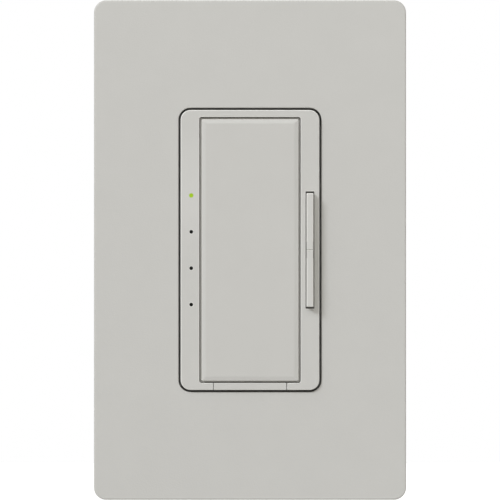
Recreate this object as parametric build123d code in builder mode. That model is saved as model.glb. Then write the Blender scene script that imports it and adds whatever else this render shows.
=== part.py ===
"""Fan speed control for a wall box, with its screwless wall plate.

Millimetres. X is to the right and Z is up, seen from the room. +Y goes into the wall, and the
origin is on the wall's surface at the middle of the device. A level is a distance in front of
the wall, so what lies inside the wall box has a negative level.
"""

import os
from math import radians, sin

from build123d import *

os.makedirs("parts", exist_ok=True)

# Tap button, the large one
tap_width = 23.12
tap_height = 62.44
tap_corner = 0.35
tap_bevel = 1.0
tap_bevel_drop = 0.18
tap_wall = 1.4
tap_skin = 1.6
tap_gap = 0.53
tap_proud = 0.45
tap_flange_drop = 1.5
flange_play = 0.12
tap_rib = 0.8
tap_rib_depth = 2.2
tap_rib_spacing = 14.0
tap_rib_count = 4
tap_pin_radius = 1.0
tap_pin_reach = 1.5
tap_pin_from_top = 3.0
tap_arm = 20.2
tap_angle = 1.0
post_radius = 1.5

# Bezel, the frame round the button
side_rail = 4.47
end_rail = 1.695
bezel_corner = 2.35
bezel_edge = 0.2
well_edge = 0.12
bezel_proud = 0.8
bezel_skin = 1.2
channel_wall = 1.0
channel_height = 50.0
well_corner = 0.55
hook_thick = 1.0
hook_width = 4.0
hook_spacing = 44.0
hook_barb = 0.5
hook_reach = 1.5
hook_flex = 0.6

# Speed rocker, the narrow bar in the right rail
rocker_width = 1.65
rocker_height = 27.1
rocker_side_gap = 0.24
rocker_end_gap = 0.47
rocker_proud = 2.0
rocker_edge = 0.2
rocker_groove = 0.2
rocker_flange = 1.2
rocker_flange_lap = 0.95
rocker_drop = 0.55
rocker_hub = 3.0
rocker_pin_radius = 0.7
rocker_angle = 1.5
leg_spacing = 18.0
leg_width = 1.6
leg_height = 2.2

# Indicator lights in the left rail
light_count = 4
light_spacing = 8.69
light_from_well = 1.95
light_hole_radius = 0.45
light_tip_radius = 0.4
light_recess = 0.25
light_foot_radius = 1.0
light_bar_depth = 2.6
lamp_width = 2.0
lamp_height = 1.25
lamp_depth = 0.8

# Air-gap tab in the bottom rail
tab_width = 17.34
tab_side_gap = 0.2
tab_depth = 2.4
tab_travel = 4.0
stem_width = 12.0
stem_thick = 0.8
bridge_width = 10.0
bridge_height = 2.0
bridge_thick = 0.6
contact_radius = 0.9
contact_height = 1.0
contact_spacing = 7.0
stake_width = 2.4

# Wall plate and the adapter that it snaps on
plate_beyond_yoke_side = 15.04
plate_beyond_yoke_end = 6.85
plate_depth = 7.6
plate_skin = 1.8
plate_skirt = 1.6
plate_corner = 2.9
plate_edge = 0.3
opening_edge = 0.12
bezel_gap = 0.51
collar_wall = 1.2
collar_depth = 1.6
lug_reach = 0.9
lug_length = 6.0
lug_thick = 1.2
lug_level = 1.4
side_lug_spacing = 60.0
end_lug_spacing = 40.0
adapter_web = 1.8
adapter_rim = 1.5
lip_thick = 0.8
lip_play = 0.15
adapter_lift = 0.4
adapter_corner = 2.0
standoff_radius = 3.0

# Yoke, the aluminium strap that carries everything
yoke_thick = 1.6
yoke_beyond_bezel = 5.7
yoke_body_beyond = 3.6
yoke_end_width = 30.0
yoke_corner = 2.5
yoke_beyond_plate_screw = 4.45
plate_screw_beyond_box_screw = 6.73
box_screw_beyond_bezel = 8.225
box_slot_length = 6.4
box_slot_height = 3.6
ground_tab_depth = 10.0
ground_tab_height = 8.0
ground_tab_out = 2.0
ground_tab_bend = 1.2
ground_tab_from_end = 6.85

# Screws
box_screw_radius = 1.75
box_screw_neck = 1.35
box_screw_neck_length = 2.5
box_screw_length = 24.0
box_head_radius = 3.2
box_head_height = 1.4
box_head_edge = 0.4
screw_slot = 0.8
screw_slot_depth = 0.7
washer_radius = 3.6
washer_thick = 0.8
plate_screw_radius = 1.7
plate_head_radius = 2.9
plate_screw_end = 2.0
case_screw_radius = 1.42
case_head_radius = 2.5
case_head_height = 1.8
case_cross = 3.75
ground_screw_radius = 1.9
ground_head_radius = 3.4
ground_head_height = 2.0
ground_screw_length = 6.5

# Housing inside the wall box
housing_beyond_bezel = 1.6
housing_wall = 1.8
housing_corner = 2.5
housing_edge = 1.0
pillar_radius = 3.4
pillar_inset_side = 3.75
pillar_inset_end = 4.2
pillar_seat = 8.0
pillar_bore = 2.7
bay_depth = 5.5
bay_height = 11.0
bay_clear = 0.7
rib_reach = 1.2
rib_width = 1.5
rib_spacing = 23.0

# Wiring terminals
terminal_thick = 1.0
terminal_width = 9.0
terminal_tail = 3.0
terminal_screw_radius = 1.5
terminal_head_radius = 3.5
terminal_head_height = 2.2
boss_radius = 3.0
boss_length = 2.6

# Boards and what stands on them
board_thick = 1.6
control_board_drop = 5.0
board_space = 6.0
board_side_play = 0.45
insulator_thick = 0.4
switch_size = 6.0
switch_depth = 3.5
plunger_radius = 1.6
plunger_proud = 1.0
plunger_length = 2.7
plunger_edge = 0.2
plunger_pocket = 2.4
chip_size = 7.0
chip_depth = 1.2
chip_edge = 0.3
header_width = 2.5
header_length = 15.0
capacitor_width = 26.0
capacitor_height = 9.0
capacitor_depth = 13.0
capacitor_from_end = 4.9
small_capacitor_width = 18.0
small_capacitor_height = 8.0
relay_width = 15.5
relay_height = 10.0
relay_depth = 11.0
varistor_radius = 4.6
varistor_thick = 3.6
can_radius = 4.0
can_depth = 12.0
choke_radius = 4.0
choke_bore = 1.6
choke_depth = 5.0
choke_turns = 12
component_edge = 0.5
triac_width = 10.0
triac_body_height = 9.0
triac_body_depth = 4.4
triac_tab_height = 6.2
triac_tab_thick = 1.3
triac_lead = 0.7
triac_lead_spacing = 2.54
pad_thick = 0.3
rivet_radius = 1.5
rivet_head_radius = 2.8
rivet_head_height = 0.9

# Clearances
fit = 0.05
slide_play = 0.1
window_play = 0.6
seat_play = 0.3
floor_play = 2.0
snap_play = 0.4

# Front levels
bezel_level = plate_depth + bezel_proud
tap_level = bezel_level + tap_proud
flange_level = tap_level - tap_flange_drop
rocker_level = bezel_level + rocker_proud
channel_level = bezel_level - bezel_skin
collar_level = plate_depth - plate_skin - collar_depth
adapter_level = plate_depth - plate_skin - 2 * slide_play
web_level = adapter_level - adapter_web
pin_level = 5.0
tap_rear = pin_level - tap_pin_radius - window_play

# Inner levels
control_rear = -control_board_drop - board_thick
power_front = control_rear - board_space
power_rear = power_front - board_thick
switch_front = -control_board_drop + switch_depth
plunger_level = switch_front + plunger_proud
deepest_component = max(capacitor_depth, relay_depth, can_depth, 2 * varistor_radius)
floor_level = power_rear - deepest_component - floor_play
housing_depth = housing_wall - floor_level

# Widths and heights, from the button outwards
well_width = tap_width + 2 * tap_gap
well_height = tap_height + 2 * tap_gap
bezel_width = well_width + 2 * side_rail
bezel_height = well_height + 2 * end_rail
opening_width = bezel_width + 2 * bezel_gap
opening_height = bezel_height + 2 * bezel_gap
box_screw_spacing = bezel_height + 2 * box_screw_beyond_bezel
plate_screw_spacing = box_screw_spacing + 2 * plate_screw_beyond_box_screw
yoke_width = bezel_width + 2 * yoke_beyond_bezel
yoke_body_height = bezel_height + 2 * yoke_body_beyond
yoke_height = plate_screw_spacing + 2 * yoke_beyond_plate_screw
plate_width = yoke_width + 2 * plate_beyond_yoke_side
plate_height = yoke_height + 2 * plate_beyond_yoke_end
skirt_width = plate_width - 2 * plate_skirt
skirt_height = plate_height - 2 * plate_skirt
adapter_width = skirt_width - 2 * window_play
adapter_height = skirt_height - 2 * window_play
housing_width = yoke_width
housing_height = bezel_height + 2 * housing_beyond_bezel
cavity_width = housing_width - 2 * housing_wall
cavity_height = housing_height - 2 * housing_wall

# Places
rail_middle = (well_width + side_rail) / 2
channel_width = side_rail - 2 * channel_wall
light_x = -(well_width / 2 + light_from_well)
light_reach = (light_count - 1) * light_spacing / 2
tap_pin_z = tap_height / 2 - tap_pin_from_top
post_z = tap_pin_z - tap_arm
tap_travel = tap_arm * sin(radians(tap_angle))
leg_z = leg_spacing / 2
stem_z = -(well_height + stem_thick) / 2 - fit
pillar_x = housing_width / 2 - pillar_inset_side
pillar_z = housing_height / 2 - pillar_inset_end
ground_z = -yoke_height / 2 + ground_tab_from_end + ground_tab_height / 2
bay_z = max(can_radius, choke_radius) + bay_clear + housing_wall + bay_height / 2
bay_floor = housing_width / 2 - bay_depth
bay_level = (power_rear - housing_wall - housing_depth) / 2
bays = [(1, bay_z), (1, -bay_z), (-1, -bay_z)]
switch_places = {"tap": (0, post_z), "raise": (rail_middle, leg_z), "lower": (rail_middle, -leg_z)}


def front_plane(level):
    """A plane that faces the room at a level in front of the wall."""
    return Plane.XZ.offset(level)


def side_cut(radius, length, centre):
    """Cut a round hole along X, centred on a point."""
    with Locations(centre):
        Cylinder(radius, length, rotation=(0, 90, 0), mode=Mode.SUBTRACT)


# Wall plate: a thin cover whose skirt stands on the wall
with BuildPart() as wall_plate:
    with BuildSketch(front_plane(0)):
        RectangleRounded(plate_width, plate_height, plate_corner)
    extrude(amount=plate_depth)
    fillet(wall_plate.faces().sort_by(Axis.Y)[0].edges(), plate_edge)
    with BuildSketch(front_plane(0)):
        RectangleRounded(skirt_width, skirt_height, plate_corner - plate_skirt)
    extrude(amount=plate_depth - plate_skin, mode=Mode.SUBTRACT)
    with BuildSketch(front_plane(collar_level)):
        RectangleRounded(opening_width + 2 * collar_wall, opening_height + 2 * collar_wall,
                         bezel_corner + bezel_gap + collar_wall)
    extrude(amount=collar_depth)
    with BuildSketch(front_plane(collar_level)):
        RectangleRounded(opening_width, opening_height, bezel_corner + bezel_gap)
    extrude(amount=plate_depth - collar_level, mode=Mode.SUBTRACT)
    fillet(wall_plate.faces().sort_by(Axis.Y)[0].inner_wires()[0].edges(), opening_edge)
    with BuildSketch(front_plane(lug_level)):
        with GridLocations(skirt_width, side_lug_spacing, 2, 2):
            Rectangle(2 * lug_reach, lug_length)
        with GridLocations(end_lug_spacing, skirt_height, 2, 2):
            Rectangle(lug_length, 2 * lug_reach)
    extrude(amount=lug_thick)
wall_plate.part.label = "wall_plate"
export_step(wall_plate.part, "parts/wall_plate.step")

# Adapter: the frame that is screwed to the yoke and holds the wall plate by its lugs
with BuildPart() as plate_adapter:
    with BuildSketch(front_plane(adapter_lift)):
        RectangleRounded(adapter_width, adapter_height, adapter_corner)
    extrude(amount=adapter_level - adapter_lift)
    with BuildSketch(front_plane(adapter_lift)):
        RectangleRounded(adapter_width - 2 * adapter_rim, adapter_height - 2 * adapter_rim,
                         adapter_corner / 2)
    extrude(amount=web_level - adapter_lift, mode=Mode.SUBTRACT)
    with BuildSketch(front_plane(yoke_thick)):
        with GridLocations(0, plate_screw_spacing, 1, 2):
            Circle(standoff_radius)
    extrude(amount=web_level - yoke_thick)
    with BuildSketch(front_plane(web_level)):
        RectangleRounded(opening_width + 2 * (collar_wall + snap_play),
                         opening_height + 2 * (collar_wall + snap_play),
                         bezel_corner + bezel_gap + collar_wall + snap_play)
    extrude(amount=adapter_web, mode=Mode.SUBTRACT)
    with BuildSketch(front_plane(web_level - lip_thick)):
        RectangleRounded(opening_width + 2 * (collar_wall + snap_play + lip_thick),
                         opening_height + 2 * (collar_wall + snap_play + lip_thick),
                         bezel_corner + bezel_gap + collar_wall + snap_play + lip_thick)
        RectangleRounded(bezel_width + 2 * lip_play, bezel_height + 2 * lip_play, bezel_corner + lip_play,
                         mode=Mode.SUBTRACT)
    extrude(amount=lip_thick)
    with BuildSketch(front_plane(lug_level - snap_play)):
        with GridLocations(skirt_width, side_lug_spacing, 2, 2):
            Rectangle(2 * (window_play + adapter_rim + snap_play), lug_length + 2 * snap_play)
        with GridLocations(end_lug_spacing, skirt_height, 2, 2):
            Rectangle(lug_length + 2 * snap_play, 2 * (window_play + adapter_rim + snap_play))
    extrude(amount=lug_thick + 2 * snap_play, mode=Mode.SUBTRACT)
    with Locations(front_plane(adapter_level)):
        with GridLocations(0, plate_screw_spacing, 1, 2):
            CounterSinkHole(plate_screw_radius + slide_play, plate_head_radius + slide_play)
plate_adapter.part.label = "plate_adapter"
export_step(plate_adapter.part, "parts/plate_adapter.step")

# Adapter screws: countersunk, through the standoffs into the yoke
with BuildPart() as adapter_screws:
    with BuildSketch(front_plane(-plate_screw_end)):
        with GridLocations(0, plate_screw_spacing, 1, 2):
            Circle(plate_screw_radius)
    extrude(amount=adapter_level + plate_screw_end)
    with Locations(*[Plane(origin=(0, -adapter_level, end * plate_screw_spacing / 2), z_dir=(0, 1, 0))
                     for end in (-1, 1)]):
        Cone(plate_head_radius, plate_screw_radius, plate_head_radius - plate_screw_radius,
             align=(Align.CENTER, Align.CENTER, Align.MIN))
    with BuildSketch(front_plane(adapter_level - screw_slot_depth)):
        with GridLocations(0, plate_screw_spacing, 1, 2):
            Rectangle(2 * plate_head_radius, screw_slot)
    extrude(amount=screw_slot_depth, mode=Mode.SUBTRACT)
adapter_screws.part.label = "adapter_screws"
export_step(adapter_screws.part, "parts/adapter_screws.step")

# Bezel: a moulded frame with a well for the button and a channel behind each side rail
with BuildPart() as bezel:
    with BuildSketch(front_plane(yoke_thick)):
        RectangleRounded(bezel_width, bezel_height, bezel_corner)
    extrude(amount=bezel_level - yoke_thick)
    fillet(bezel.faces().sort_by(Axis.Y)[0].edges(), bezel_edge)
    with BuildSketch(front_plane(yoke_thick)):
        RectangleRounded(well_width, well_height, well_corner)
    extrude(amount=bezel_level - yoke_thick, mode=Mode.SUBTRACT)
    fillet(bezel.faces().sort_by(Axis.Y)[0].inner_wires()[0].edges(), well_edge)
    with BuildSketch(front_plane(yoke_thick)):
        with GridLocations(2 * rail_middle, 0, 2, 1):
            Rectangle(channel_width, channel_height)
    extrude(amount=channel_level - yoke_thick, mode=Mode.SUBTRACT)
    with BuildSketch(front_plane(channel_level)):
        with Locations((rail_middle, 0)):
            Rectangle(rocker_width + 2 * rocker_side_gap, rocker_height + 2 * rocker_end_gap)
        with Locations((light_x, 0)):
            with GridLocations(0, light_spacing, 1, light_count):
                Circle(light_hole_radius)
    extrude(amount=bezel_skin, mode=Mode.SUBTRACT)
    side_cut(tap_pin_radius + fit, well_width + 2 * (tap_pin_reach - tap_gap + snap_play),
             (0, -pin_level, tap_pin_z))
    side_cut(rocker_pin_radius + fit, side_rail + 2 * fit, (rail_middle, -pin_level, 0))
    with BuildSketch(front_plane(bezel_level - tab_depth - slide_play)):
        with Locations((0, -bezel_height / 2)):
            Rectangle(tab_width + 2 * tab_side_gap, 2 * end_rail + tap_gap)
    extrude(amount=tab_depth + slide_play, mode=Mode.SUBTRACT)
    with BuildSketch(front_plane(yoke_thick)):
        with Locations((0, stem_z)):
            Rectangle(stem_width + 2 * slide_play, stem_thick + 2 * fit)
    extrude(amount=bezel_level - yoke_thick, mode=Mode.SUBTRACT)
    with BuildSketch(front_plane(-hook_reach)):
        with GridLocations(bezel_width - hook_thick, hook_spacing, 2, 2):
            Rectangle(hook_thick, hook_width)
    extrude(amount=hook_reach + yoke_thick + channel_wall)
    for side in (-1, 1):
        for end in (-1, 1):
            with BuildSketch(Plane.XY.offset((end * hook_spacing - hook_width) / 2)):
                with BuildLine():
                    Polyline((side * bezel_width / 2, fit),
                             (side * (bezel_width / 2 + hook_barb), fit),
                             (side * bezel_width / 2, hook_reach), close=True)
                make_face()
            extrude(amount=hook_width)
bezel.part.label = "bezel"
export_step(bezel.part, "parts/bezel.step")

# Tap button: a ribbed shell that swings on two pins near its top, with a flange inside the well
with BuildPart() as tap_button:
    with BuildSketch(front_plane(tap_rear)):
        RectangleRounded(tap_width, tap_height, tap_corner)
    extrude(amount=tap_level - tap_rear)
    with BuildSketch(Plane.YZ.offset(-tap_width)):
        for end in (-1, 1):
            with BuildLine():
                Polyline((-tap_level, end * (tap_height / 2 - tap_bevel)),
                         (-tap_level, end * tap_height / 2),
                         (-tap_level + tap_bevel_drop, end * tap_height / 2), close=True)
            make_face()
    extrude(amount=2 * tap_width, mode=Mode.SUBTRACT)
    with BuildSketch(Plane.XY.offset(-tap_height)):
        for side in (-1, 1):
            with BuildLine():
                Polyline((side * (tap_width / 2 - tap_bevel), -tap_level),
                         (side * tap_width / 2, -tap_level),
                         (side * tap_width / 2, -tap_level + tap_bevel_drop), close=True)
            make_face()
    extrude(amount=2 * tap_height, mode=Mode.SUBTRACT)
    with BuildSketch(front_plane(tap_rear)):
        RectangleRounded(well_width - 2 * flange_play, well_height - 2 * flange_play,
                         well_corner - flange_play)
    extrude(amount=flange_level - tap_rear)
    with BuildSketch(front_plane(tap_rear)):
        Rectangle(tap_width - 2 * tap_wall, tap_height - 2 * tap_wall)
    extrude(amount=tap_level - tap_skin - tap_rear, mode=Mode.SUBTRACT)
    with BuildSketch(front_plane(tap_level - tap_skin - tap_rib_depth)):
        Rectangle(tap_rib, tap_height - tap_wall)
        with GridLocations(0, tap_rib_spacing, 1, tap_rib_count):
            Rectangle(tap_width - tap_wall, tap_rib)
    extrude(amount=tap_rib_depth)
    with BuildSketch(front_plane(plunger_level + slide_play)):
        with Locations((0, post_z)):
            Circle(post_radius)
    extrude(amount=tap_level - tap_skin - plunger_level - slide_play)
    with Locations((0, -pin_level, tap_pin_z)):
        Cylinder(tap_pin_radius, tap_width + 2 * tap_pin_reach, rotation=(0, 90, 0))
tap_button.part.label = "tap_button"
export_step(tap_button.part, "parts/tap_button.step")

# Speed rocker: a bar on two pins, with a leg behind each half
rocker_seat = channel_level - rocker_drop
with BuildPart() as rocker:
    with BuildSketch(front_plane(rocker_seat)):
        with Locations((rail_middle, 0)):
            Rectangle(rocker_width, rocker_height)
    extrude(amount=rocker_level - rocker_seat)
    fillet(rocker.faces().sort_by(Axis.Y)[0].edges(), rocker_edge)
    with BuildSketch(Plane.YZ.offset(rail_middle - rocker_width)):
        with BuildLine():
            Polyline((-rocker_level, rocker_groove), (-rocker_level + rocker_groove, 0),
                     (-rocker_level, -rocker_groove), (-rocker_level - rocker_groove, 0), close=True)
        make_face()
    extrude(amount=2 * rocker_width, mode=Mode.SUBTRACT)
    with BuildSketch(front_plane(rocker_seat - rocker_flange)):
        with Locations((rail_middle, 0)):
            Rectangle(channel_width - 2 * slide_play, rocker_height + 2 * rocker_flange_lap)
    extrude(amount=rocker_flange)
    with BuildSketch(front_plane(pin_level - rocker_pin_radius - snap_play)):
        with Locations((rail_middle, 0)):
            Rectangle(channel_width - 2 * slide_play, rocker_hub)
    extrude(amount=rocker_seat - pin_level + rocker_pin_radius + snap_play)
    with Locations((rail_middle, -pin_level, 0)):
        Cylinder(rocker_pin_radius, side_rail - 4 * fit, rotation=(0, 90, 0))
    with BuildSketch(front_plane(plunger_level + slide_play)):
        with Locations((rail_middle, 0)):
            with GridLocations(0, leg_spacing, 1, 2):
                Rectangle(leg_width, leg_height)
    extrude(amount=rocker_seat - plunger_level - slide_play)
rocker.part.label = "rocker"
export_step(rocker.part, "parts/rocker.step")

# Light pipe: a clear bar with a tip in each hole and a foot in front of each lamp
lamp_level = -control_board_drop + lamp_depth
pipe_front = channel_level - slide_play
pipe_end = light_reach + light_foot_radius
with BuildPart() as light_pipe:
    with BuildSketch(front_plane(pipe_front - light_bar_depth)):
        with Locations((-rail_middle, 0)):
            RectangleRounded(channel_width - 2 * slide_play, 2 * pipe_end + 4 * light_foot_radius,
                             light_tip_radius)
    extrude(amount=light_bar_depth)
    with BuildSketch(front_plane(yoke_thick)):
        with Locations((-rail_middle, 0)):
            with GridLocations(0, 2 * pipe_end + 2 * light_foot_radius, 1, 2):
                Rectangle(channel_width - 2 * slide_play, light_foot_radius)
    extrude(amount=pipe_front - light_bar_depth - yoke_thick)
    with BuildSketch(front_plane(pipe_front)):
        with Locations((light_x, 0)):
            with GridLocations(0, light_spacing, 1, light_count):
                Circle(light_tip_radius)
    extrude(amount=bezel_level - light_recess - pipe_front)
    with BuildSketch(front_plane(lamp_level + seat_play)):
        with Locations((-rail_middle, 0)):
            with GridLocations(0, light_spacing, 1, light_count):
                Circle(light_foot_radius)
    extrude(amount=pipe_front - light_bar_depth - lamp_level - seat_play)
light_pipe.part.label = "light_pipe"
export_step(light_pipe.part, "parts/light_pipe.step")

# Air-gap tab: the pull at the bottom, with a flat stem that runs back into the housing
stem_end = power_front + 2 * contact_height + bridge_thick
with BuildPart() as air_gap_tab:
    with BuildSketch(front_plane(bezel_level - tab_depth)):
        with Locations((0, -(well_height + end_rail) / 2)):
            Rectangle(tab_width, end_rail)
    extrude(amount=tab_depth)
    front_edges = air_gap_tab.faces().sort_by(Axis.Y)[0].edges()
    fillet(front_edges.sort_by(Axis.Z)[0], bezel_edge)
    with BuildSketch(front_plane(stem_end)):
        with Locations((0, stem_z)):
            Rectangle(stem_width, stem_thick)
    extrude(amount=bezel_level - tab_depth - stem_end)
    with BuildSketch(front_plane(stem_end - bridge_thick - slide_play)):
        with Locations((0, stem_z)):
            Rectangle(stake_width, stem_thick)
    extrude(amount=bridge_thick + slide_play)
air_gap_tab.part.label = "air_gap_tab"
export_step(air_gap_tab.part, "parts/air_gap_tab.step")

# Contact bridge: a strip staked to the stem's end, with two contacts that close the circuit
with BuildPart() as contact_bridge:
    with BuildSketch(front_plane(stem_end - bridge_thick)):
        with Locations((0, stem_z)):
            Rectangle(bridge_width, bridge_height)
            Rectangle(stake_width + 2 * fit, stem_thick + 2 * fit, mode=Mode.SUBTRACT)
    extrude(amount=bridge_thick)
    with BuildSketch(front_plane(stem_end - bridge_thick - contact_height + fit)):
        with Locations((0, stem_z)):
            with GridLocations(contact_spacing, 0, 2, 1):
                Circle(contact_radius)
    extrude(amount=contact_height - fit)
contact_bridge.part.label = "contact_bridge"
export_step(contact_bridge.part, "parts/contact_bridge.step")

# Fixed contacts on the power board
with BuildPart() as fixed_contacts:
    with BuildSketch(front_plane(power_front)):
        with Locations((0, stem_z)):
            with GridLocations(contact_spacing, 0, 2, 1):
                Circle(contact_radius)
    extrude(amount=contact_height - fit)
fixed_contacts.part.label = "fixed_contacts"
export_step(fixed_contacts.part, "parts/fixed_contacts.step")


def device_windows(play):
    """The openings that the moving pieces and the light pipe's feet pass through."""
    with Locations((0, post_z)):
        Circle(post_radius + play, mode=Mode.SUBTRACT)
    with Locations((rail_middle, 0)):
        with GridLocations(0, leg_spacing, 1, 2):
            Rectangle(leg_width + 2 * play, leg_height + 2 * play, mode=Mode.SUBTRACT)
    with Locations((-rail_middle, 0)):
        with GridLocations(0, light_spacing, 1, light_count):
            Circle(light_foot_radius + play, mode=Mode.SUBTRACT)
    with Locations((0, stem_z)):
        Rectangle(stem_width + 2 * play, stem_thick + play, mode=Mode.SUBTRACT)


# Yoke: a stamped aluminium strap, with the ground tab folded back at its lower left
triac_tab_bottom = cavity_height / 2 - triac_tab_height - 2 * window_play
triac_bottom = triac_tab_bottom - triac_body_height
rivet_z = triac_tab_bottom + triac_tab_height / 2
lead_z = triac_bottom - triac_lead / 2
with BuildPart() as yoke:
    with BuildSketch(front_plane(0)):
        RectangleRounded(yoke_width, yoke_body_height, yoke_corner)
        RectangleRounded(yoke_end_width, yoke_height, yoke_corner)
        device_windows(window_play)
        with Locations((0, rivet_z)):
            Circle(rivet_radius + fit, mode=Mode.SUBTRACT)
        with GridLocations(bezel_width - hook_thick + 2 * fit - hook_flex, hook_spacing, 2, 2):
            Rectangle(hook_thick + 2 * fit + hook_flex, hook_width + 2 * slide_play, mode=Mode.SUBTRACT)
        with GridLocations(0, box_screw_spacing, 1, 2):
            SlotOverall(box_slot_length, box_slot_height, mode=Mode.SUBTRACT)
        with GridLocations(0, plate_screw_spacing, 1, 2):
            Circle(plate_screw_radius + fit, mode=Mode.SUBTRACT)
        with GridLocations(2 * pillar_x, 2 * pillar_z, 2, 2):
            Circle(case_screw_radius + fit, mode=Mode.SUBTRACT)
    extrude(amount=yoke_thick)
    with BuildSketch(Plane.XY.offset(ground_z - ground_tab_height / 2)):
        with BuildLine():
            FilletPolyline((-yoke_end_width / 2 + yoke_corner, -yoke_thick / 2),
                           (-yoke_end_width / 2 - ground_tab_out, -yoke_thick / 2),
                           (-yoke_end_width / 2 - ground_tab_out, ground_tab_depth),
                           radius=ground_tab_bend)
        trace(line_width=yoke_thick)
    extrude(amount=ground_tab_height)
    side_cut(ground_screw_radius + fit, 2 * ground_screw_length,
             (-yoke_end_width / 2 - ground_tab_out, ground_tab_depth / 2, ground_z))
yoke.part.label = "yoke"
export_step(yoke.part, "parts/yoke.step")

# Ground screw: pan head outside the folded tab
with BuildPart() as ground_screw:
    head_face = -yoke_end_width / 2 - ground_tab_out - yoke_thick / 2
    with BuildSketch(Plane.YZ.offset(head_face)):
        with Locations((ground_tab_depth / 2, ground_z)):
            Circle(ground_head_radius)
    extrude(amount=-ground_head_height)
    with BuildSketch(Plane.YZ.offset(head_face - ground_head_height)):
        with Locations((ground_tab_depth / 2, ground_z)):
            Rectangle(screw_slot, 2 * ground_head_radius)
    extrude(amount=screw_slot_depth, mode=Mode.SUBTRACT)
    with BuildSketch(Plane.YZ.offset(head_face)):
        with Locations((ground_tab_depth / 2, ground_z)):
            Circle(ground_screw_radius)
    extrude(amount=ground_screw_length)
ground_screw.part.label = "ground_screw"
export_step(ground_screw.part, "parts/ground_screw.step")

# Mounting screws: an undercut neck keeps them in the yoke with their washers
with BuildPart() as mounting_screws:
    with BuildSketch(front_plane(yoke_thick)):
        with GridLocations(0, box_screw_spacing, 1, 2):
            Circle(box_head_radius)
    extrude(amount=box_head_height)
    head_fronts = mounting_screws.faces().filter_by(Axis.Y).group_by(Axis.Y)[0]
    chamfer(head_fronts.edges(), box_head_edge)
    with BuildSketch(front_plane(yoke_thick + box_head_height - screw_slot_depth)):
        with GridLocations(0, box_screw_spacing, 1, 2):
            Rectangle(2 * box_head_radius, screw_slot)
    extrude(amount=screw_slot_depth, mode=Mode.SUBTRACT)
    with BuildSketch(front_plane(yoke_thick)):
        with GridLocations(0, box_screw_spacing, 1, 2):
            Circle(box_screw_neck)
    extrude(amount=-box_screw_neck_length)
    with BuildSketch(front_plane(yoke_thick - box_screw_neck_length)):
        with GridLocations(0, box_screw_spacing, 1, 2):
            Circle(box_screw_radius)
    extrude(amount=-(box_screw_length - box_screw_neck_length))
mounting_screws.part.label = "mounting_screws"
export_step(mounting_screws.part, "parts/mounting_screws.step")

# Retaining washers behind the yoke
with BuildPart() as retaining_washers:
    with BuildSketch(front_plane(-washer_thick)):
        with GridLocations(0, box_screw_spacing, 1, 2):
            Circle(washer_radius)
            Circle(box_screw_neck + slide_play, mode=Mode.SUBTRACT)
    extrude(amount=washer_thick)
retaining_washers.part.label = "retaining_washers"
export_step(retaining_washers.part, "parts/retaining_washers.step")

# Housing: a moulded box with three terminal bays in its sides and four screw pillars
rear_plane = Plane(origin=(0, housing_depth, 0), x_dir=(1, 0, 0), z_dir=(0, 1, 0))
with BuildPart() as housing:
    with BuildSketch(front_plane(-housing_depth)):
        RectangleRounded(housing_width, housing_height, housing_corner)
    extrude(amount=housing_depth)
    fillet(housing.faces().sort_by(Axis.Y)[-1].edges(), housing_edge)
    with BuildSketch(front_plane(floor_level)):
        RectangleRounded(cavity_width, cavity_height, housing_corner / 2)
    extrude(amount=-floor_level, mode=Mode.SUBTRACT)
    with BuildSketch(front_plane(floor_level)):
        for side, z in bays:
            with Locations((side * (bay_floor + housing_width / 2 - 2 * housing_wall) / 2, z)):
                Rectangle(bay_depth, bay_height + 2 * housing_wall)
    extrude(amount=power_rear - floor_level)
    with BuildSketch(front_plane(floor_level)):
        with GridLocations(cavity_width, rib_spacing, 2, 3):
            Rectangle(2 * rib_reach, rib_width)
    extrude(amount=control_rear - floor_level)
    with BuildSketch(front_plane(floor_level)):
        with GridLocations(2 * pillar_x, 2 * pillar_z, 2, 2):
            Circle(pillar_radius)
    extrude(amount=-floor_level)
    for side, z in bays:
        with Locations((side * (bay_floor - housing_wall - boss_length / 2), -bay_level, z)):
            Cylinder(boss_radius, boss_length + fit, rotation=(0, 90, 0))
    with BuildSketch(front_plane(-housing_depth)):
        for side, z in bays:
            with Locations((side * (bay_floor + bay_depth), z)):
                Rectangle(2 * bay_depth, bay_height)
    extrude(amount=power_rear - housing_wall + housing_depth, mode=Mode.SUBTRACT)
    for side, z in bays:
        side_cut(terminal_screw_radius + fit, 2 * (boss_length + housing_wall - window_play),
                 (side * bay_floor, -bay_level, z))
    with BuildSketch(front_plane(power_rear - housing_wall)):
        for side, z in bays:
            with Locations((side * (bay_floor + terminal_thick / 2), z)):
                Rectangle(terminal_thick + 2 * slide_play, terminal_tail + 2 * slide_play)
    extrude(amount=housing_wall, mode=Mode.SUBTRACT)
    with Locations(rear_plane):
        with GridLocations(2 * pillar_x, 2 * pillar_z, 2, 2):
            CounterBoreHole(case_screw_radius + slide_play, pillar_bore, housing_depth - pillar_seat)
housing.part.label = "housing"
export_step(housing.part, "parts/housing.step")

# Housing screws: up through the pillars into the yoke
with BuildPart() as housing_screws:
    with BuildSketch(front_plane(-pillar_seat)):
        with GridLocations(2 * pillar_x, 2 * pillar_z, 2, 2):
            Circle(case_head_radius)
    extrude(amount=-case_head_height)
    with BuildSketch(front_plane(-pillar_seat - case_head_height)):
        with GridLocations(2 * pillar_x, 2 * pillar_z, 2, 2):
            Rectangle(case_cross, screw_slot)
            Rectangle(screw_slot, case_cross)
    extrude(amount=screw_slot_depth, mode=Mode.SUBTRACT)
    with BuildSketch(front_plane(-pillar_seat)):
        with GridLocations(2 * pillar_x, 2 * pillar_z, 2, 2):
            Circle(case_screw_radius)
    extrude(amount=pillar_seat + yoke_thick)
housing_screws.part.label = "housing_screws"
export_step(housing_screws.part, "parts/housing_screws.step")

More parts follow.
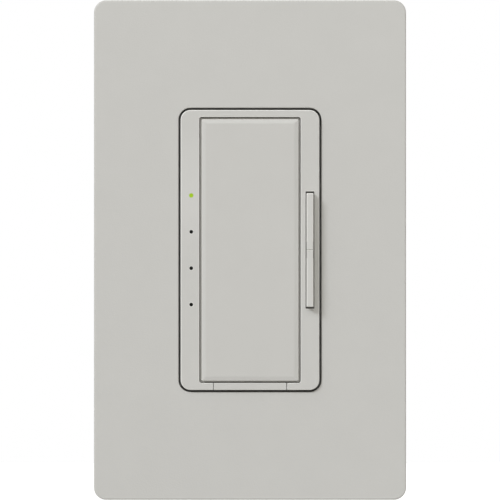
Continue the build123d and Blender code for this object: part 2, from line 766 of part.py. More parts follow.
# Wiring terminals: brass plates in the bays, with a tail through the shelf to the power board
plate_top = power_rear - housing_wall - slide_play
plate_length = housing_depth + plate_top - terminal_thick
for number, (side, z) in enumerate(bays, start=1):
    with BuildPart() as terminal:
        with BuildSketch(front_plane(plate_top)):
            with Locations((side * (bay_floor + terminal_thick / 2), z)):
                Rectangle(terminal_thick, terminal_width)
        extrude(amount=-plate_length)
        with BuildSketch(front_plane(plate_top)):
            with Locations((side * (bay_floor + terminal_thick / 2), z)):
                Rectangle(terminal_thick, terminal_tail)
        extrude(amount=power_front + terminal_thick - plate_top)
        side_cut(terminal_screw_radius + slide_play, 2 * boss_length,
                 (side * bay_floor, -bay_level, z))
    terminal.part.label = f"terminal_{number}"
    export_step(terminal.part, f"parts/terminal_{number}.step")

# Terminal screws
with BuildPart() as terminal_screws:
    for side, z in bays:
        clamp_face = side * (bay_floor + terminal_thick)
        with BuildSketch(Plane.YZ.offset(clamp_face)):
            with Locations((-bay_level, z)):
                Circle(terminal_head_radius)
        extrude(amount=side * terminal_head_height)
        with BuildSketch(Plane.YZ.offset(clamp_face + side * terminal_head_height)):
            with Locations((-bay_level, z)):
                Rectangle(screw_slot, 2 * terminal_head_radius)
                Rectangle(terminal_head_radius, screw_slot)
        extrude(amount=-side * screw_slot_depth, mode=Mode.SUBTRACT)
        with BuildSketch(Plane.YZ.offset(clamp_face)):
            with Locations((-bay_level, z)):
                Circle(terminal_screw_radius)
        extrude(amount=-side * (terminal_thick + housing_wall + boss_length - 2 * window_play))
terminal_screws.part.label = "terminal_screws"
export_step(terminal_screws.part, "parts/terminal_screws.step")

# Insulator: a thin sheet between the yoke and the boards
with BuildPart() as insulator:
    with BuildSketch(front_plane(-insulator_thick)):
        Rectangle(cavity_width - 2 * seat_play, cavity_height - 2 * seat_play)
        device_windows(window_play)
        with Locations(*switch_places.values()):
            Circle(plunger_radius + window_play, mode=Mode.SUBTRACT)
        with GridLocations(2 * pillar_x, 2 * pillar_z, 2, 2):
            Circle(pillar_radius + seat_play, mode=Mode.SUBTRACT)
        with GridLocations(bezel_width - hook_thick, hook_spacing, 2, 2):
            Rectangle(hook_thick + 2 * (hook_barb + window_play), hook_width + window_play,
                      mode=Mode.SUBTRACT)
        with Locations((0, (triac_bottom + triac_tab_bottom + triac_tab_height) / 2)):
            Rectangle(triac_width + 2 * window_play,
                      triac_body_height + triac_tab_height + 2 * window_play, mode=Mode.SUBTRACT)
    extrude(amount=insulator_thick)
insulator.part.label = "insulator"
export_step(insulator.part, "parts/insulator.step")

# Control board: carries the lamps and the three tact switches
control_top = max(light_reach + lamp_height, post_z + switch_size / 2) + window_play
control_bottom = stem_z + bridge_height / 2 + snap_play
with BuildPart() as control_board:
    with BuildSketch(front_plane(control_rear)):
        with Locations((0, (control_top + control_bottom) / 2)):
            Rectangle(cavity_width - 2 * board_side_play, control_top - control_bottom)
        with Locations((0, lead_z)):
            Rectangle(triac_width, triac_lead + 2 * window_play, mode=Mode.SUBTRACT)
        with GridLocations(2 * pillar_x, 2 * pillar_z, 2, 2):
            Circle(pillar_radius + snap_play, mode=Mode.SUBTRACT)
    extrude(amount=board_thick)
control_board.part.label = "control_board"
export_step(control_board.part, "parts/control_board.step")

# Power board: seated on the shelves of the terminal bays
power_width = cavity_width - 2 * rib_reach - 2 * slide_play
with BuildPart() as power_board:
    with BuildSketch(front_plane(power_rear)):
        Rectangle(power_width, cavity_height - 2 * window_play)
        with GridLocations(2 * pillar_x, 2 * pillar_z, 2, 2):
            Circle(pillar_radius + snap_play, mode=Mode.SUBTRACT)
        for side, z in bays:
            with Locations((side * (bay_floor + terminal_thick / 2), z)):
                Rectangle(terminal_thick + 2 * slide_play, terminal_tail + 2 * slide_play,
                          mode=Mode.SUBTRACT)
    extrude(amount=board_thick)
power_board.part.label = "power_board"
export_step(power_board.part, "parts/power_board.step")

# Tact switches and their plungers
for name, place in switch_places.items():
    with BuildPart() as switch_body:
        with BuildSketch(front_plane(-control_board_drop)):
            with Locations(place):
                Rectangle(switch_size, switch_size)
        extrude(amount=switch_depth)
        with BuildSketch(front_plane(switch_front - plunger_pocket)):
            with Locations(place):
                Circle(plunger_radius + fit)
        extrude(amount=plunger_pocket, mode=Mode.SUBTRACT)
    switch_body.part.label = f"{name}_switch"
    export_step(switch_body.part, f"parts/{name}_switch.step")
    with BuildPart() as plunger:
        with BuildSketch(front_plane(plunger_level - plunger_length)):
            with Locations(place):
                Circle(plunger_radius)
        extrude(amount=plunger_length)
        chamfer(plunger.faces().sort_by(Axis.Y)[0].edges(), plunger_edge)
    plunger.part.label = f"{name}_plunger"
    export_step(plunger.part, f"parts/{name}_plunger.step")

# Lamps under the light pipe, counted from the top
for number in range(light_count):
    with BuildPart() as lamp:
        with BuildSketch(front_plane(-control_board_drop)):
            with Locations((-rail_middle, light_reach - number * light_spacing)):
                Rectangle(lamp_width, lamp_height)
        extrude(amount=lamp_depth)
    lamp.part.label = f"lamp_{number + 1}"
    export_step(lamp.part, f"parts/lamp_{number + 1}.step")

# Microcontroller on the control board
with BuildPart() as microcontroller:
    with BuildSketch(front_plane(-control_board_drop)):
        with Locations((0, -leg_z)):
            Rectangle(chip_size, chip_size)
    extrude(amount=chip_depth)
    chamfer(microcontroller.faces().sort_by(Axis.Y)[0].edges(), chip_edge)
microcontroller.part.label = "microcontroller"
export_step(microcontroller.part, "parts/microcontroller.step")

# Header between the two boards
with BuildPart() as board_header:
    with BuildSketch(front_plane(power_front)):
        with Locations((0, -leg_z)):
            Rectangle(header_length, header_width)
    extrude(amount=board_space)
board_header.part.label = "board_header"
export_step(board_header.part, "parts/board_header.step")

# Film capacitors behind the power board, one at each end and a small one in the middle
block_z = cavity_height / 2 - capacitor_from_end - capacitor_height / 2
capacitors = [
    (capacitor_width, capacitor_height, block_z),
    (capacitor_width, capacitor_height, -block_z),
    (small_capacitor_width, small_capacitor_height, 0),
]
for number, (width, height, z) in enumerate(capacitors, start=1):
    with BuildPart() as capacitor:
        with BuildSketch(front_plane(power_rear)):
            with Locations((0, z)):
                Rectangle(width, height)
        extrude(amount=-capacitor_depth)
        chamfer(capacitor.faces().sort_by(Axis.Y)[-1].edges(), component_edge)
    capacitor.part.label = f"film_capacitor_{number}"
    export_step(capacitor.part, f"parts/film_capacitor_{number}.step")

# Relays between the capacitors
relay_z = (block_z - capacitor_height / 2 + small_capacitor_height / 2) / 2
for number, z in enumerate((relay_z, -relay_z), start=1):
    with BuildPart() as relay:
        with BuildSketch(front_plane(power_rear)):
            with Locations((0, z)):
                Rectangle(relay_width, relay_height)
        extrude(amount=-relay_depth)
        chamfer(relay.edges().filter_by(Axis.Y), component_edge)
    relay.part.label = f"relay_{number}"
    export_step(relay.part, f"parts/relay_{number}.step")

# Varistor: a disc that stands on the power board in the upper left
varistor_x = -(cavity_width / 2 - rib_reach - varistor_thick)
with BuildPart() as varistor:
    with Locations((varistor_x, -power_rear + varistor_radius + window_play, bay_z)):
        Cylinder(varistor_radius, varistor_thick, rotation=(0, 90, 0))
    chamfer(varistor.edges(), component_edge)
    with BuildSketch(front_plane(power_rear)):
        with Locations((varistor_x, bay_z)):
            with GridLocations(0, varistor_radius, 1, 2):
                Rectangle(triac_lead, triac_lead)
    extrude(amount=-varistor_radius)
varistor.part.label = "varistor"
export_step(varistor.part, "parts/varistor.step")

# Smoothing capacitor: a can at the middle left
can_x = -(cavity_width / 2 - rib_reach - can_radius - seat_play)
with BuildPart() as can_capacitor:
    with BuildSketch(front_plane(power_rear)):
        with Locations((can_x, 0)):
            Circle(can_radius)
    extrude(amount=-can_depth)
    chamfer(can_capacitor.faces().sort_by(Axis.Y)[-1].edges(), component_edge)
can_capacitor.part.label = "can_capacitor"
export_step(can_capacitor.part, "parts/can_capacitor.step")

# Choke: a wound ring at the middle right
with BuildPart() as choke:
    with BuildSketch(front_plane(power_rear)):
        with Locations((-can_x, 0)):
            Circle(choke_radius)
            with PolarLocations(choke_radius, choke_turns):
                Circle(seat_play, mode=Mode.SUBTRACT)
            Circle(choke_bore, mode=Mode.SUBTRACT)
    extrude(amount=-choke_depth)
choke.part.label = "choke"
export_step(choke.part, "parts/choke.step")

# Triac: its metal tab lies flat against the yoke, and its leads reach the power board
with BuildPart() as triac:
    with BuildSketch(front_plane(-pad_thick)):
        with Locations((0, (triac_bottom + triac_tab_bottom) / 2)):
            Rectangle(triac_width, triac_body_height)
    extrude(amount=-triac_body_depth)
    with BuildSketch(front_plane(-pad_thick)):
        with Locations((0, rivet_z)):
            Rectangle(triac_width, triac_tab_height)
            Circle(rivet_radius + fit, mode=Mode.SUBTRACT)
    extrude(amount=-triac_tab_thick)
    with BuildSketch(front_plane(-pad_thick - triac_body_depth / 2)):
        with Locations((0, lead_z)):
            with GridLocations(triac_lead_spacing, 0, 3, 1):
                Rectangle(triac_lead, triac_lead)
    extrude(amount=power_front + pad_thick + triac_body_depth / 2)
triac.part.label = "triac"
export_step(triac.part, "parts/triac.step")

# Thermal pad between the triac and the yoke
with BuildPart() as thermal_pad:
    with BuildSketch(front_plane(-pad_thick)):
        with Locations((0, (triac_bottom + triac_tab_bottom + triac_tab_height) / 2)):
            Rectangle(triac_width, triac_body_height + triac_tab_height)
        with Locations((0, rivet_z)):
            Circle(rivet_radius + fit, mode=Mode.SUBTRACT)
    extrude(amount=pad_thick)
thermal_pad.part.label = "thermal_pad"
export_step(thermal_pad.part, "parts/thermal_pad.step")

# Rivet that holds the triac to the yoke
with BuildPart() as triac_rivet:
    with BuildSketch(front_plane(-pad_thick - triac_tab_thick)):
        with Locations((0, rivet_z)):
            Circle(rivet_radius)
    extrude(amount=yoke_thick + pad_thick + triac_tab_thick)
    with BuildSketch(front_plane(yoke_thick)):
        with Locations((0, rivet_z)):
            Circle(rivet_head_radius)
    extrude(amount=rivet_head_height)
    with BuildSketch(front_plane(-pad_thick - triac_tab_thick)):
        with Locations((0, rivet_z)):
            Circle(rivet_head_radius)
    extrude(amount=-rivet_head_height)
triac_rivet.part.label = "triac_rivet"
export_step(triac_rivet.part, "parts/triac_rivet.step")

print("plate", round(plate_width, 2), round(plate_height, 2), "box screws", round(box_screw_spacing, 2))
print("tap plunger travel", round(tap_travel, 4), "rocker leg travel",
      round(leg_z * sin(radians(rocker_angle)), 4), "tab travel", tab_travel)
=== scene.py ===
"""Looks for the wall-box fan speed control: materials, screw threads, light, floor and camera."""

from math import cos, pi, radians, sin, tau

import bmesh
import bpy
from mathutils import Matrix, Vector


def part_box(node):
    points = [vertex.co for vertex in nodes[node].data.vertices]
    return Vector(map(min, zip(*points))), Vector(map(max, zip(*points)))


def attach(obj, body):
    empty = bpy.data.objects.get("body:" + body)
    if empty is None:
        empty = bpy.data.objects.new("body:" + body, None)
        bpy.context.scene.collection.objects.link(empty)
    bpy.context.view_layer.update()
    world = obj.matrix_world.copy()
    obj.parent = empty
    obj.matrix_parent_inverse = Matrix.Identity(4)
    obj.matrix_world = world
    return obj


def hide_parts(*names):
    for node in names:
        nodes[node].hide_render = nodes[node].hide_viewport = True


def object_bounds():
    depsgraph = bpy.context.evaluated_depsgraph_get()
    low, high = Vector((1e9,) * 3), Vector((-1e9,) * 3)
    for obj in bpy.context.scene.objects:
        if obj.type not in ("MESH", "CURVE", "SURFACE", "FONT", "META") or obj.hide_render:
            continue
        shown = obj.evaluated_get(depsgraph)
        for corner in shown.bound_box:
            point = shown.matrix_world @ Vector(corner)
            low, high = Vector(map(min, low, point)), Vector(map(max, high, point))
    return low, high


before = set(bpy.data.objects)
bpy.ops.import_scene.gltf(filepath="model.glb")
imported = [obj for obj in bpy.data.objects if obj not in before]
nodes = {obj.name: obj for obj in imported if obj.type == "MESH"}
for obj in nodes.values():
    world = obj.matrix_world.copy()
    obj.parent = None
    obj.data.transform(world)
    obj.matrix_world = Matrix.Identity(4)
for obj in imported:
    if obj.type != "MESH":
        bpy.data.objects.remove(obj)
cad_low, cad_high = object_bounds()
MM = 0.001


# Camera: straight on, with a long lens
PLATE_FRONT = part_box("wall_plate")[0].y
CAMERA_DISTANCE = 1.5
FRAME_HEIGHT = 119.5 * MM
SENSOR = 36.0

camera_data = bpy.data.cameras.new("camera")
camera_data.sensor_width = SENSOR
camera_data.lens = SENSOR * CAMERA_DISTANCE / FRAME_HEIGHT
camera = bpy.data.objects.new("camera", camera_data)
camera.location = (0, PLATE_FRONT - CAMERA_DISTANCE, 0)
camera.rotation_euler = (pi / 2, 0, 0)
bpy.context.scene.collection.objects.link(camera)
bpy.context.scene.camera = camera


# Materials
NOISE_LOW, NOISE_HIGH = 0.3, 0.7

# Painted highlight on edges: how much lighter, and how far normals agree where it starts and where
# it is full
HIGHLIGHT_LIFT = 1.4
SHARP = (0.995, 0.96)
SLOPED = (0.97, 0.9)
NOT_SIDE = (0.2, 0.5)


class Look:
    """A Principled material and the nodes that drive it, in the object's own metres."""

    def __init__(self, name, colour, roughness, metallic=0.0, **sockets):
        self.material = bpy.data.materials.new(name)
        self.material.use_nodes = True
        self.tree = self.material.node_tree
        self.shader = self.tree.nodes["Principled BSDF"]
        self.colour = colour
        self.set("Base Color", (*colour, 1))
        self.set("Roughness", roughness)
        self.set("Metallic", metallic)
        for socket, value in sockets.items():
            self.set(socket.replace("_", " "), value)
        self.place = self.node("ShaderNodeTexCoord").outputs["Object"]

    def set(self, socket, value):
        """Give a socket of the shader a constant."""
        self.shader.inputs[socket].default_value = value

    def drive(self, socket, value):
        """Link a node's output to a socket of the shader."""
        self.tree.links.new(value, self.shader.inputs[socket])

    def node(self, kind, inputs=None, **settings):
        """A node with its settings, and its inputs linked or set."""
        made = self.tree.nodes.new(kind)
        for key, value in settings.items():
            setattr(made, key, value)
        for socket, value in (inputs or {}).items():
            if isinstance(value, bpy.types.NodeSocket):
                self.tree.links.new(value, made.inputs[socket])
            else:
                made.inputs[socket].default_value = value
        return made

    def maths(self, operation, *values):
        """A Math node's result."""
        return self.node("ShaderNodeMath", dict(enumerate(values)), operation=operation).outputs[0]

    def vectors(self, operation, *values, output="Vector"):
        """A Vector Math node's result."""
        return self.node("ShaderNodeVectorMath", dict(enumerate(values)),
                         operation=operation).outputs[output]

    def remap(self, value, start, end, low, high, shape="LINEAR"):
        """A value taken from start and end to low and high, and held there."""
        return self.node("ShaderNodeMapRange",
                         {"Value": value, "From Min": start, "From Max": end,
                          "To Min": low, "To Max": high}, interpolation_type=shape).outputs[0]

    def noise(self, size, detail=2.0, stretch=(1, 1, 1)):
        """Noise whose features are about size metres across, from 0 to 1."""
        scaled = self.node("ShaderNodeMapping", {"Vector": self.place, "Scale": stretch})
        return self.node("ShaderNodeTexNoise", {"Vector": scaled.outputs[0], "Scale": 1 / size,
                                                "Detail": detail}).outputs[0]

    def mix(self, factor, first, second):
        """Two colours mixed by a factor."""
        made = self.node("ShaderNodeMix", data_type="RGBA")
        for number, value in ((0, factor), (6, first), (7, second)):
            socket = made.inputs[number]
            if isinstance(value, bpy.types.NodeSocket):
                self.tree.links.new(value, socket)
            else:
                socket.default_value = (*value, 1)
        return made.outputs[2]

    def tint(self, factor, colour):
        """Mix the base colour to another one by a factor."""
        below = self.shader.inputs["Base Color"].links[0].from_socket
        self.drive("Base Color", self.mix(factor, below, colour))

    def mottle(self, size, amount, detail=2.0, stretch=(1, 1, 1)):
        """Faint lighter and darker patches."""
        darker = tuple(c * (1 - amount) for c in self.colour)
        lighter = tuple(min(1, c * (1 + amount)) for c in self.colour)
        patches = self.remap(self.noise(size, detail, stretch), NOISE_LOW, NOISE_HIGH, 0, 1)
        self.drive("Base Color", self.mix(patches, darker, lighter))

    def painted_edge_highlight(self, radius, beyond=0.0):
        """Painted highlight: lighter on sloped edges, and along sharp ones out to a radius.

        beyond leaves out the part's middle, to that height each way.
        """
        normal = self.node("ShaderNodeNewGeometry").outputs["Normal"]
        rounded = self.node("ShaderNodeBevel", {"Radius": radius}, samples=6).outputs[0]
        same = self.vectors("DOT_PRODUCT", rounded, normal, output="Value")
        along_y = self.vectors("DOT_PRODUCT", normal, (0, 1, 0), output="Value")
        facing = self.maths("ABSOLUTE", along_y)
        sharp = self.remap(same, *SHARP, 0.0, 1.0)
        sloped = self.remap(facing, *SLOPED, 0.0, 1.0)
        not_side = self.remap(facing, *NOT_SIDE, 0.0, 1.0)
        edge_highlight = self.maths("MULTIPLY", self.maths("MAXIMUM", sharp, sloped), not_side)
        if beyond:
            height = self.node("ShaderNodeSeparateXYZ", {0: self.place}).outputs[2]
            outside = self.maths("GREATER_THAN", self.maths("ABSOLUTE", height), beyond)
            edge_highlight = self.maths("MULTIPLY", edge_highlight, outside)
        # Painted highlight: the base colour is lifted along the edges
        self.tint(edge_highlight, tuple(min(1, c * HIGHLIGHT_LIFT) for c in self.colour))

    def rough(self, size, low, high, stretch=(1, 1, 1)):
        """Roughness that varies over the surface."""
        patches = self.noise(size, 3.0, stretch)
        self.drive("Roughness", self.remap(patches, NOISE_LOW, NOISE_HIGH, low, high))

    def relief(self, size, depth, edge=0.0, stretch=(1, 1, 1)):
        """Fine bump, and edges rounded off by a small radius."""
        inputs = {"Height": self.noise(size, stretch=stretch), "Distance": depth, "Strength": 1.0}
        if edge:
            inputs["Normal"] = self.node("ShaderNodeBevel", {"Radius": edge}, samples=4).outputs[0]
        self.drive("Normal", self.node("ShaderNodeBump", inputs).outputs[0])

    def use(self, *names):
        """Put this material on CAD nodes."""
        for name in names:
            mesh = nodes[name].data
            mesh.materials.clear()
            mesh.materials.append(self.material)


def moulded(name, colour, roughness, grain=0.25 * MM, depth=0.012 * MM, edge=0.0, amount=0.009,
            edge_highlight=0.0, highlight_beyond=0.0):
    """Moulded plastic with a fine eroded texture, and a painted highlight along its edges."""
    look = Look(name, colour, roughness)
    look.mottle(9 * MM, amount, 4.0)
    if edge_highlight:
        look.painted_edge_highlight(edge_highlight, highlight_beyond)
    look.relief(grain, depth, edge)
    return look


def metal(name, colour, roughness, stretch=(1, 1, 1), grain=0.4 * MM, depth=0.004 * MM,
          edge=0.12 * MM):
    """Plated or stamped metal."""
    look = Look(name, colour, roughness, metallic=1.0)
    look.mottle(3 * MM, 0.06, 3.0, stretch)
    look.rough(1.2 * MM, roughness - 0.08, roughness + 0.1, stretch)
    look.relief(grain, depth, edge, stretch)
    return look


# The face in view
FACE = (0.557, 0.550, 0.519)
BEZEL = (0.567, 0.560, 0.528)
ROCKER = (0.594, 0.587, 0.553)
BUTTON = (0.562, 0.554, 0.522)
# Radius of the painted highlight along edges
EDGE_HIGHLIGHT = 0.28 * MM
moulded("plate_plastic", FACE, 0.38, grain=0.4 * MM, depth=0.028 * MM, edge=0.4 * MM).use(
    "wall_plate")
bezel_look = moulded("bezel_plastic", BEZEL, 0.3, edge_highlight=EDGE_HIGHLIGHT)
bezel_look.use("bezel")
moulded("tab_plastic", BEZEL, 0.3, edge_highlight=EDGE_HIGHLIGHT).use("air_gap_tab")
moulded("rocker_plastic", ROCKER, 0.3, edge_highlight=EDGE_HIGHLIGHT, highlight_beyond=2 * MM).use("rocker")
moulded("button_plastic", BUTTON, 0.3, edge=0.18 * MM, edge_highlight=EDGE_HIGHLIGHT).use("tap_button")

# Plastics behind it
moulded("adapter_plastic", (0.44, 0.44, 0.42), 0.55, edge=0.15 * MM).use("plate_adapter")
moulded("housing_plastic", (0.012, 0.012, 0.013), 0.42, grain=0.35 * MM, depth=0.03 * MM,
        edge=0.2 * MM, amount=0.25).use("housing")
moulded("switch_plastic", (0.014, 0.014, 0.014), 0.4, edge=0.1 * MM, amount=0.2).use(
    "tap_switch", "raise_switch", "lower_switch", "board_header", "microcontroller", "triac")
moulded("plunger_plastic", (0.03, 0.03, 0.032), 0.4, edge=0.1 * MM).use(
    "tap_plunger", "raise_plunger", "lower_plunger")
moulded("fibre", (0.20, 0.028, 0.018), 0.8, grain=0.15 * MM, depth=0.03 * MM, edge=0.1 * MM,
        amount=0.2).use("retaining_washers")
moulded("insulation_sheet", (0.55, 0.52, 0.44), 0.6, grain=0.5 * MM, amount=0.05).use("insulator")
moulded("thermal_pad_rubber", (0.25, 0.26, 0.28), 0.85, amount=0.08).use("thermal_pad")
moulded("capacitor_case", (0.52, 0.42, 0.045), 0.35, edge=0.2 * MM, amount=0.05).use(
    "film_capacitor_1", "film_capacitor_2", "film_capacitor_3")
moulded("relay_case", (0.012, 0.04, 0.17), 0.3, edge=0.2 * MM, amount=0.08).use(
    "relay_1", "relay_2")
moulded("varistor_coat", (0.01, 0.05, 0.24), 0.3, grain=0.8 * MM, depth=0.05 * MM, edge=0.3 * MM,
        amount=0.15).use("varistor")
moulded("can_sleeve", (0.008, 0.009, 0.014), 0.25, edge=0.2 * MM, amount=0.1).use("can_capacitor")

# Metals
metal("aluminium_sheet", (0.66, 0.67, 0.68), 0.34, stretch=(1, 1, 0.06)).use("yoke", "triac_rivet")
zinc = metal("zinc_plate", (0.58, 0.57, 0.53), 0.3)
zinc.use("adapter_screws", "mounting_screws", "housing_screws", "terminal_screws")
green = metal("green_plate", (0.03, 0.20, 0.05), 0.32)
green.use("ground_screw")
metal("stamped_brass", (0.66, 0.44, 0.17), 0.3, stretch=(1, 0.1, 1)).use(
    "terminal_1", "terminal_2", "terminal_3")
metal("contact_alloy", (0.68, 0.50, 0.24), 0.28).use("contact_bridge", "fixed_contacts")
metal("enamelled_wire", (0.42, 0.13, 0.04), 0.28, stretch=(1, 0.2, 1)).use("choke")

# Boards
LAMINATE = (0.006, 0.075, 0.022)


def circuit_board():
    """Green laminate, darker where copper runs under the mask, with a woven texture."""
    look = Look("circuit_board", LAMINATE, 0.35)
    bricks = look.node("ShaderNodeTexBrick", {
        "Vector": look.place, "Color1": (*LAMINATE, 1), "Color2": (0.008, 0.10, 0.03, 1),
        "Mortar": (0.003, 0.045, 0.014, 1), "Scale": 160.0, "Mortar Size": 0.02,
        "Brick Width": 1.2, "Row Height": 0.4})
    look.drive("Base Color", bricks.outputs[0])
    look.relief(0.3 * MM, 0.01 * MM, 0.1 * MM)
    return look


circuit_board().use("control_board", "power_board")

# Lamps, the light guide, and light painted on the rail round the lit lamp
LIT_COLOUR = (0.37, 0.60, 0.02)
DARK_COLOUR = (0.45, 0.48, 0.38)
LAMP_STRENGTH = 3.0
# Painted green light from the lit lamp on the rim of its hole
PAINTED_GREEN_GLOW = (0.44, 0.53, 0.13)
RIM_INNER, RIM_OUTER = 0.5 * MM, 0.64 * MM
TIP_INNER, TIP_OUTER = 0.3 * MM, 1.2 * MM
TIP_STRENGTH, TIP_EDGE_STRENGTH = 0.9, 0.5
TIP_X = -14.04 * MM
# Painted white glow that lightens the rail's front round the lit lamp
GLOW_PAINT_COLOUR = (0.97, 0.96, 1.0)
GLOW_PAINT_REACH = 18 * MM
GLOW_PAINT_STRENGTH = 0.034
FRONT_SKIN = 0.05 * MM

lamp_low, lamp_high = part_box("lamp_1")
LIT_TIP = (TIP_X, 0, (lamp_low.z + lamp_high.z) / 2)
BEZEL_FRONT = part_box("bezel")[0].y


def lamp(name, colour, strength):
    """A lamp's package, lit or dark."""
    look = moulded(name, colour, 0.25, edge=0.1 * MM)
    look.set("Emission Color", (*colour, 1))
    look.set("Emission Strength", strength)
    return look


def from_lit_tip(look):
    """Distance from the lit tip's axis."""
    away = look.vectors("SUBTRACT", look.place, LIT_TIP)
    return look.vectors("LENGTH", look.vectors("MULTIPLY", away, (1, 0, 1)), output="Value")


def light_guide():
    """Smoked clear plastic: its top tip glows, and the others are dark."""
    look = Look("light_guide", (0.008, 0.008, 0.007), 0.3, Specular_IOR_Level=0.1)
    distance = from_lit_tip(look)
    fade = look.remap(distance, TIP_INNER, TIP_OUTER, TIP_STRENGTH, TIP_EDGE_STRENGTH)
    near = look.maths("LESS_THAN", distance, TIP_OUTER)
    look.set("Emission Color", (*LIT_COLOUR, 1))
    look.drive("Emission Strength", look.maths("MULTIPLY", fade, near))
    look.relief(0.6 * MM, 0.005 * MM)
    return look


def paint_rail_glow(look):
    """Painted green light on the rim of the lit hole, and a painted white glow that lightens the
    rail's front round it.
    """
    distance = from_lit_tip(look)
    # Painted green light on the rim of the lit hole
    look.tint(look.remap(distance, RIM_INNER, RIM_OUTER, 1.0, 0.0), PAINTED_GREEN_GLOW)
    # Painted glow: the rail's front gives off light round the lit lamp, fading with distance
    painted_glow = look.remap(distance, 0.0, GLOW_PAINT_REACH, GLOW_PAINT_STRENGTH, 0.0, "SMOOTHSTEP")
    depth = look.node("ShaderNodeSeparateXYZ", {0: look.place}).outputs[1]
    in_front = look.maths("LESS_THAN", depth, BEZEL_FRONT + FRONT_SKIN)
    look.set("Emission Color", (*GLOW_PAINT_COLOUR, 1))
    look.drive("Emission Strength", look.maths("MULTIPLY", painted_glow, in_front))


lamp("lamp_lit", LIT_COLOUR, LAMP_STRENGTH).use("lamp_1")
lamp("lamp_dark", DARK_COLOUR, 0.0).use("lamp_2", "lamp_3", "lamp_4")
light_guide().use("light_pipe")
paint_rail_glow(bezel_look)


# Screw threads
TURN_STEPS = 24
ROWS_PER_PITCH = 8
THREAD_DEPTH = 0.55
FLANK_GAIN = 1.25
CREASE = radians(50)


def ring(mesh, centre, across, up, radius):
    """One ring of vertices round a centre. radius is a number or a function of the angle."""
    made = []
    for step in range(TURN_STEPS):
        angle = tau * step / TURN_STEPS
        reach = radius(angle) if callable(radius) else radius
        place = centre + across * (reach * cos(angle)) + up * (reach * sin(angle))
        made.append(mesh.verts.new(place))
    return made


def turned(mesh, start, along, rows):
    """A closed turned form: rows are (distance along the axis, radius)."""
    across = along.orthogonal().normalized()
    up = along.cross(across)
    rings = [ring(mesh, start + along * distance, across, up, radius) for distance, radius in rows]
    for first, second in zip(rings, rings[1:]):
        for step in range(TURN_STEPS):
            after = (step + 1) % TURN_STEPS
            mesh.faces.new((first[step], first[after], second[after], second[step]))
    mesh.faces.new(list(reversed(rings[0])))
    mesh.faces.new(rings[-1])


def head_rows(profile, height, radius):
    """Rows of a screw's head, from shares of its height and radius."""
    return [(share * height, reach * radius) for share, reach in profile]


def thread_rows(begin, end, radius, pitch):
    """Rows of a single-start thread that fades in and out over one pitch."""
    core = radius - THREAD_DEPTH * pitch
    count = round((end - begin) / pitch * ROWS_PER_PITCH)
    rows = []
    for number in range(count + 1):
        distance = begin + (end - begin) * number / count
        fade = min(1.0, (distance - begin) / pitch, (end - distance) / pitch)

        def reach(angle, distance=distance, fade=fade):
            phase = (distance / pitch - angle / tau) % 1.0
            ridge = min(1.0, FLANK_GAIN * (1 - abs(2 * phase - 1)))
            return core + (radius - core) * ridge * fade
        rows.append((distance, reach))
    return rows


def piece(name, mesh, look, node, body="device"):
    """A finished piece that stands for a CAD node and rides on its body."""
    bmesh.ops.recalc_face_normals(mesh, faces=mesh.faces)
    data = bpy.data.meshes.new(name)
    mesh.to_mesh(data)
    mesh.free()
    data.shade_smooth()
    data.set_sharp_from_angle(angle=CREASE)
    data.materials.append(look.material)
    made = bpy.data.objects.new(name, data)
    bpy.context.scene.collection.objects.link(made)
    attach(made, body)
    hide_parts(node)
    return made


def cut_slot(made, centre, size):
    """Cut a driver slot with a box, and apply the cut."""
    cutter = bpy.data.objects.new("cutter", bpy.data.meshes.new("cutter"))
    box = bmesh.new()
    bmesh.ops.create_cube(box, size=1.0)
    bmesh.ops.scale(box, vec=size, verts=box.verts)
    bmesh.ops.translate(box, vec=centre, verts=box.verts)
    box.to_mesh(cutter.data)
    box.free()
    bpy.context.scene.collection.objects.link(cutter)
    cut = made.modifiers.new("slot", "BOOLEAN")
    cut.operation = "DIFFERENCE"
    cut.solver = "EXACT"
    cut.object = cutter
    bpy.context.view_layer.update()
    graph = bpy.context.evaluated_depsgraph_get()
    result = bpy.data.meshes.new_from_object(made.evaluated_get(graph))
    made.modifiers.clear()
    made.data = result
    bpy.data.objects.remove(cutter)


HEAD_RADIUS = 3.2 * MM
HEAD_HEIGHT = 1.4 * MM
HEAD_PROFILE = ((0, 0.78), (0.10, 0.90), (0.28, 0.97), (0.5, 1), (1, 1))
NECK_RADIUS = 1.35 * MM
NECK_END = 3.9 * MM
THREAD_RADIUS = 1.75 * MM
THREAD_PITCH = 0.79 * MM
SLOT_WIDTH = 0.8 * MM
SLOT_DEPTH = 0.7 * MM
TIP_LENGTH = 0.4 * MM
TIP_SHARE = 0.6

screw_low, screw_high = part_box("mounting_screws")
screw_length = screw_high.y - screw_low.y
screw_z = screw_high.z - HEAD_RADIUS
into_wall = Vector((0, 1, 0))
screws = bmesh.new()
for end in (-1, 1):
    turned(screws, Vector((0, screw_low.y, end * screw_z)), into_wall,
           head_rows(HEAD_PROFILE, HEAD_HEIGHT, HEAD_RADIUS)
           + [(HEAD_HEIGHT, NECK_RADIUS)]
           + thread_rows(NECK_END, screw_length - TIP_LENGTH, THREAD_RADIUS, THREAD_PITCH)
           + [(screw_length, TIP_SHARE * THREAD_RADIUS)])
box_screws = piece("box_screws", screws, zinc, "mounting_screws")
for end in (-1, 1):
    cut_slot(box_screws, (0, screw_low.y, end * screw_z),
             (3 * HEAD_RADIUS, 2 * SLOT_DEPTH, SLOT_WIDTH))

GROUND_HEAD_RADIUS = 3.4 * MM
GROUND_HEAD_HEIGHT = 2.0 * MM
GROUND_HEAD_PROFILE = ((0, 0.80), (0.10, 0.91), (0.3, 0.98), (0.5, 1), (1, 1))
GROUND_THREAD_START = GROUND_HEAD_HEIGHT + 0.01 * MM
GROUND_THREAD_RADIUS = 1.9 * MM
GROUND_THREAD_PITCH = 0.79 * MM

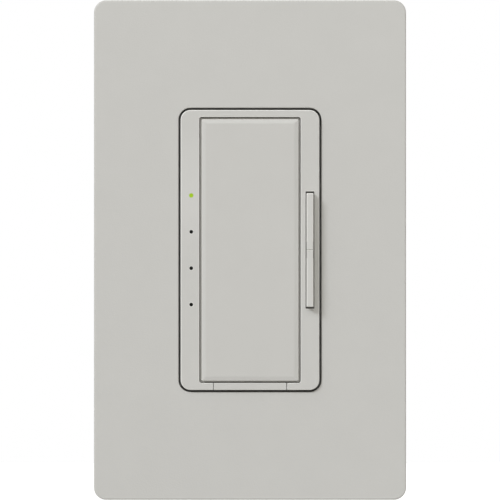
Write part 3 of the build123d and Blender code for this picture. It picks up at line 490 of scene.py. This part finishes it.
ground_low, ground_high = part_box("ground_screw")
ground_start = Vector((ground_low.x, (ground_low.y + ground_high.y) / 2,
                       (ground_low.z + ground_high.z) / 2))
ground_length = ground_high.x - ground_low.x
ground = bmesh.new()
turned(ground, ground_start, Vector((1, 0, 0)),
       head_rows(GROUND_HEAD_PROFILE, GROUND_HEAD_HEIGHT, GROUND_HEAD_RADIUS)
       + thread_rows(GROUND_THREAD_START, ground_length - TIP_LENGTH, GROUND_THREAD_RADIUS,
                     GROUND_THREAD_PITCH)
       + [(ground_length, TIP_SHARE * GROUND_THREAD_RADIUS)])
earth_screw = piece("earth_screw", ground, green, "ground_screw")
cut_slot(earth_screw, ground_start, (2 * SLOT_DEPTH, SLOT_WIDTH, 3 * GROUND_HEAD_RADIUS))


# Light
def lamp_from(name, direction, distance, size, power, colour):
    """A round area lamp in a direction from the object, turned to it."""
    data = bpy.data.lights.new(name, "AREA")
    data.shape = "DISK"
    data.size = size
    data.energy = power
    data.color = colour
    made = bpy.data.objects.new(name, data)
    towards = Vector(direction).normalized()
    made.location = towards * distance
    made.rotation_euler = (-towards).to_track_quat("-Z", "Y").to_euler()
    bpy.context.scene.collection.objects.link(made)


lamp_from("key", (-1.02, -1.0, 0.95), 6.0, 1.6, 203.5, (0.925, 0.954, 1.027))
lamp_from("wide", (-0.9, -0.6, 1.0), 2.4, 2.6, 12.5, (0.98, 1.0, 1.02))
lamp_from("front", (0.15, -1.0, 0.75), 1.0, 0.8, 2.5, (0.99, 1.0, 1.01))
lamp_from("back", (0.8, 1.0, 0.6), 1.5, 1.2, 8.0, (1.0, 1.0, 1.0))


# World: dim light, and white to the rays that show it
AMBIENT = (0.334, 0.3125, 0.274)


def seen_rays(tree):
    """1 for the rays that show the background: camera, glossy and transmission."""
    path = tree.nodes.new("ShaderNodeLightPath")
    seen = path.outputs["Is Camera Ray"]
    for ray in ("Is Glossy Ray", "Is Transmission Ray"):
        either = tree.nodes.new("ShaderNodeMath")
        either.operation = "MAXIMUM"
        tree.links.new(seen, either.inputs[0])
        tree.links.new(path.outputs[ray], either.inputs[1])
        seen = either.outputs[0]
    return seen


world = bpy.data.worlds.new("studio")
world.use_nodes = True
tree = world.node_tree
tree.nodes.clear()
choose = tree.nodes.new("ShaderNodeMixShader")
tree.links.new(seen_rays(tree), choose.inputs[0])
for socket, colour in ((1, AMBIENT), (2, (1, 1, 1))):
    background = tree.nodes.new("ShaderNodeBackground")
    background.inputs[0].default_value = (*colour, 1)
    tree.links.new(background.outputs[0], choose.inputs[socket])
output = tree.nodes.new("ShaderNodeOutputWorld")
tree.links.new(choose.outputs[0], output.inputs[0])
bpy.context.scene.world = world


# Floor: catches the shadow, and lifted to white where it is seen
FLOOR_DROP = 12 * MM
FLOOR_SIZE = 1.2
FLOOR_COLOUR = (0.5, 0.5, 0.495)
FLOOR_LIFT = 0.68

half = FLOOR_SIZE / 2
floor_mesh = bpy.data.meshes.new("floor")
floor_mesh.from_pydata([(-half, -half, 0), (half, -half, 0), (half, half, 0), (-half, half, 0)], [],
                       [(0, 1, 2, 3)])
floor = bpy.data.objects.new("floor", floor_mesh)
floor.location.z = cad_low.z - FLOOR_DROP
bpy.context.scene.collection.objects.link(floor)
pale = Look("floor_paint", FLOOR_COLOUR, 0.9, Specular_IOR_Level=0.0)
pale.mottle(0.4, 0.01)
pale.relief(2 * MM, 0.02 * MM)
pale.set("Emission Color", (1, 1, 1, 1))
pale.drive("Emission Strength", pale.maths("MULTIPLY", seen_rays(pale.tree), FLOOR_LIFT))
floor_mesh.materials.append(pale.material)

bpy.context.scene.view_settings.view_transform = "Standard"
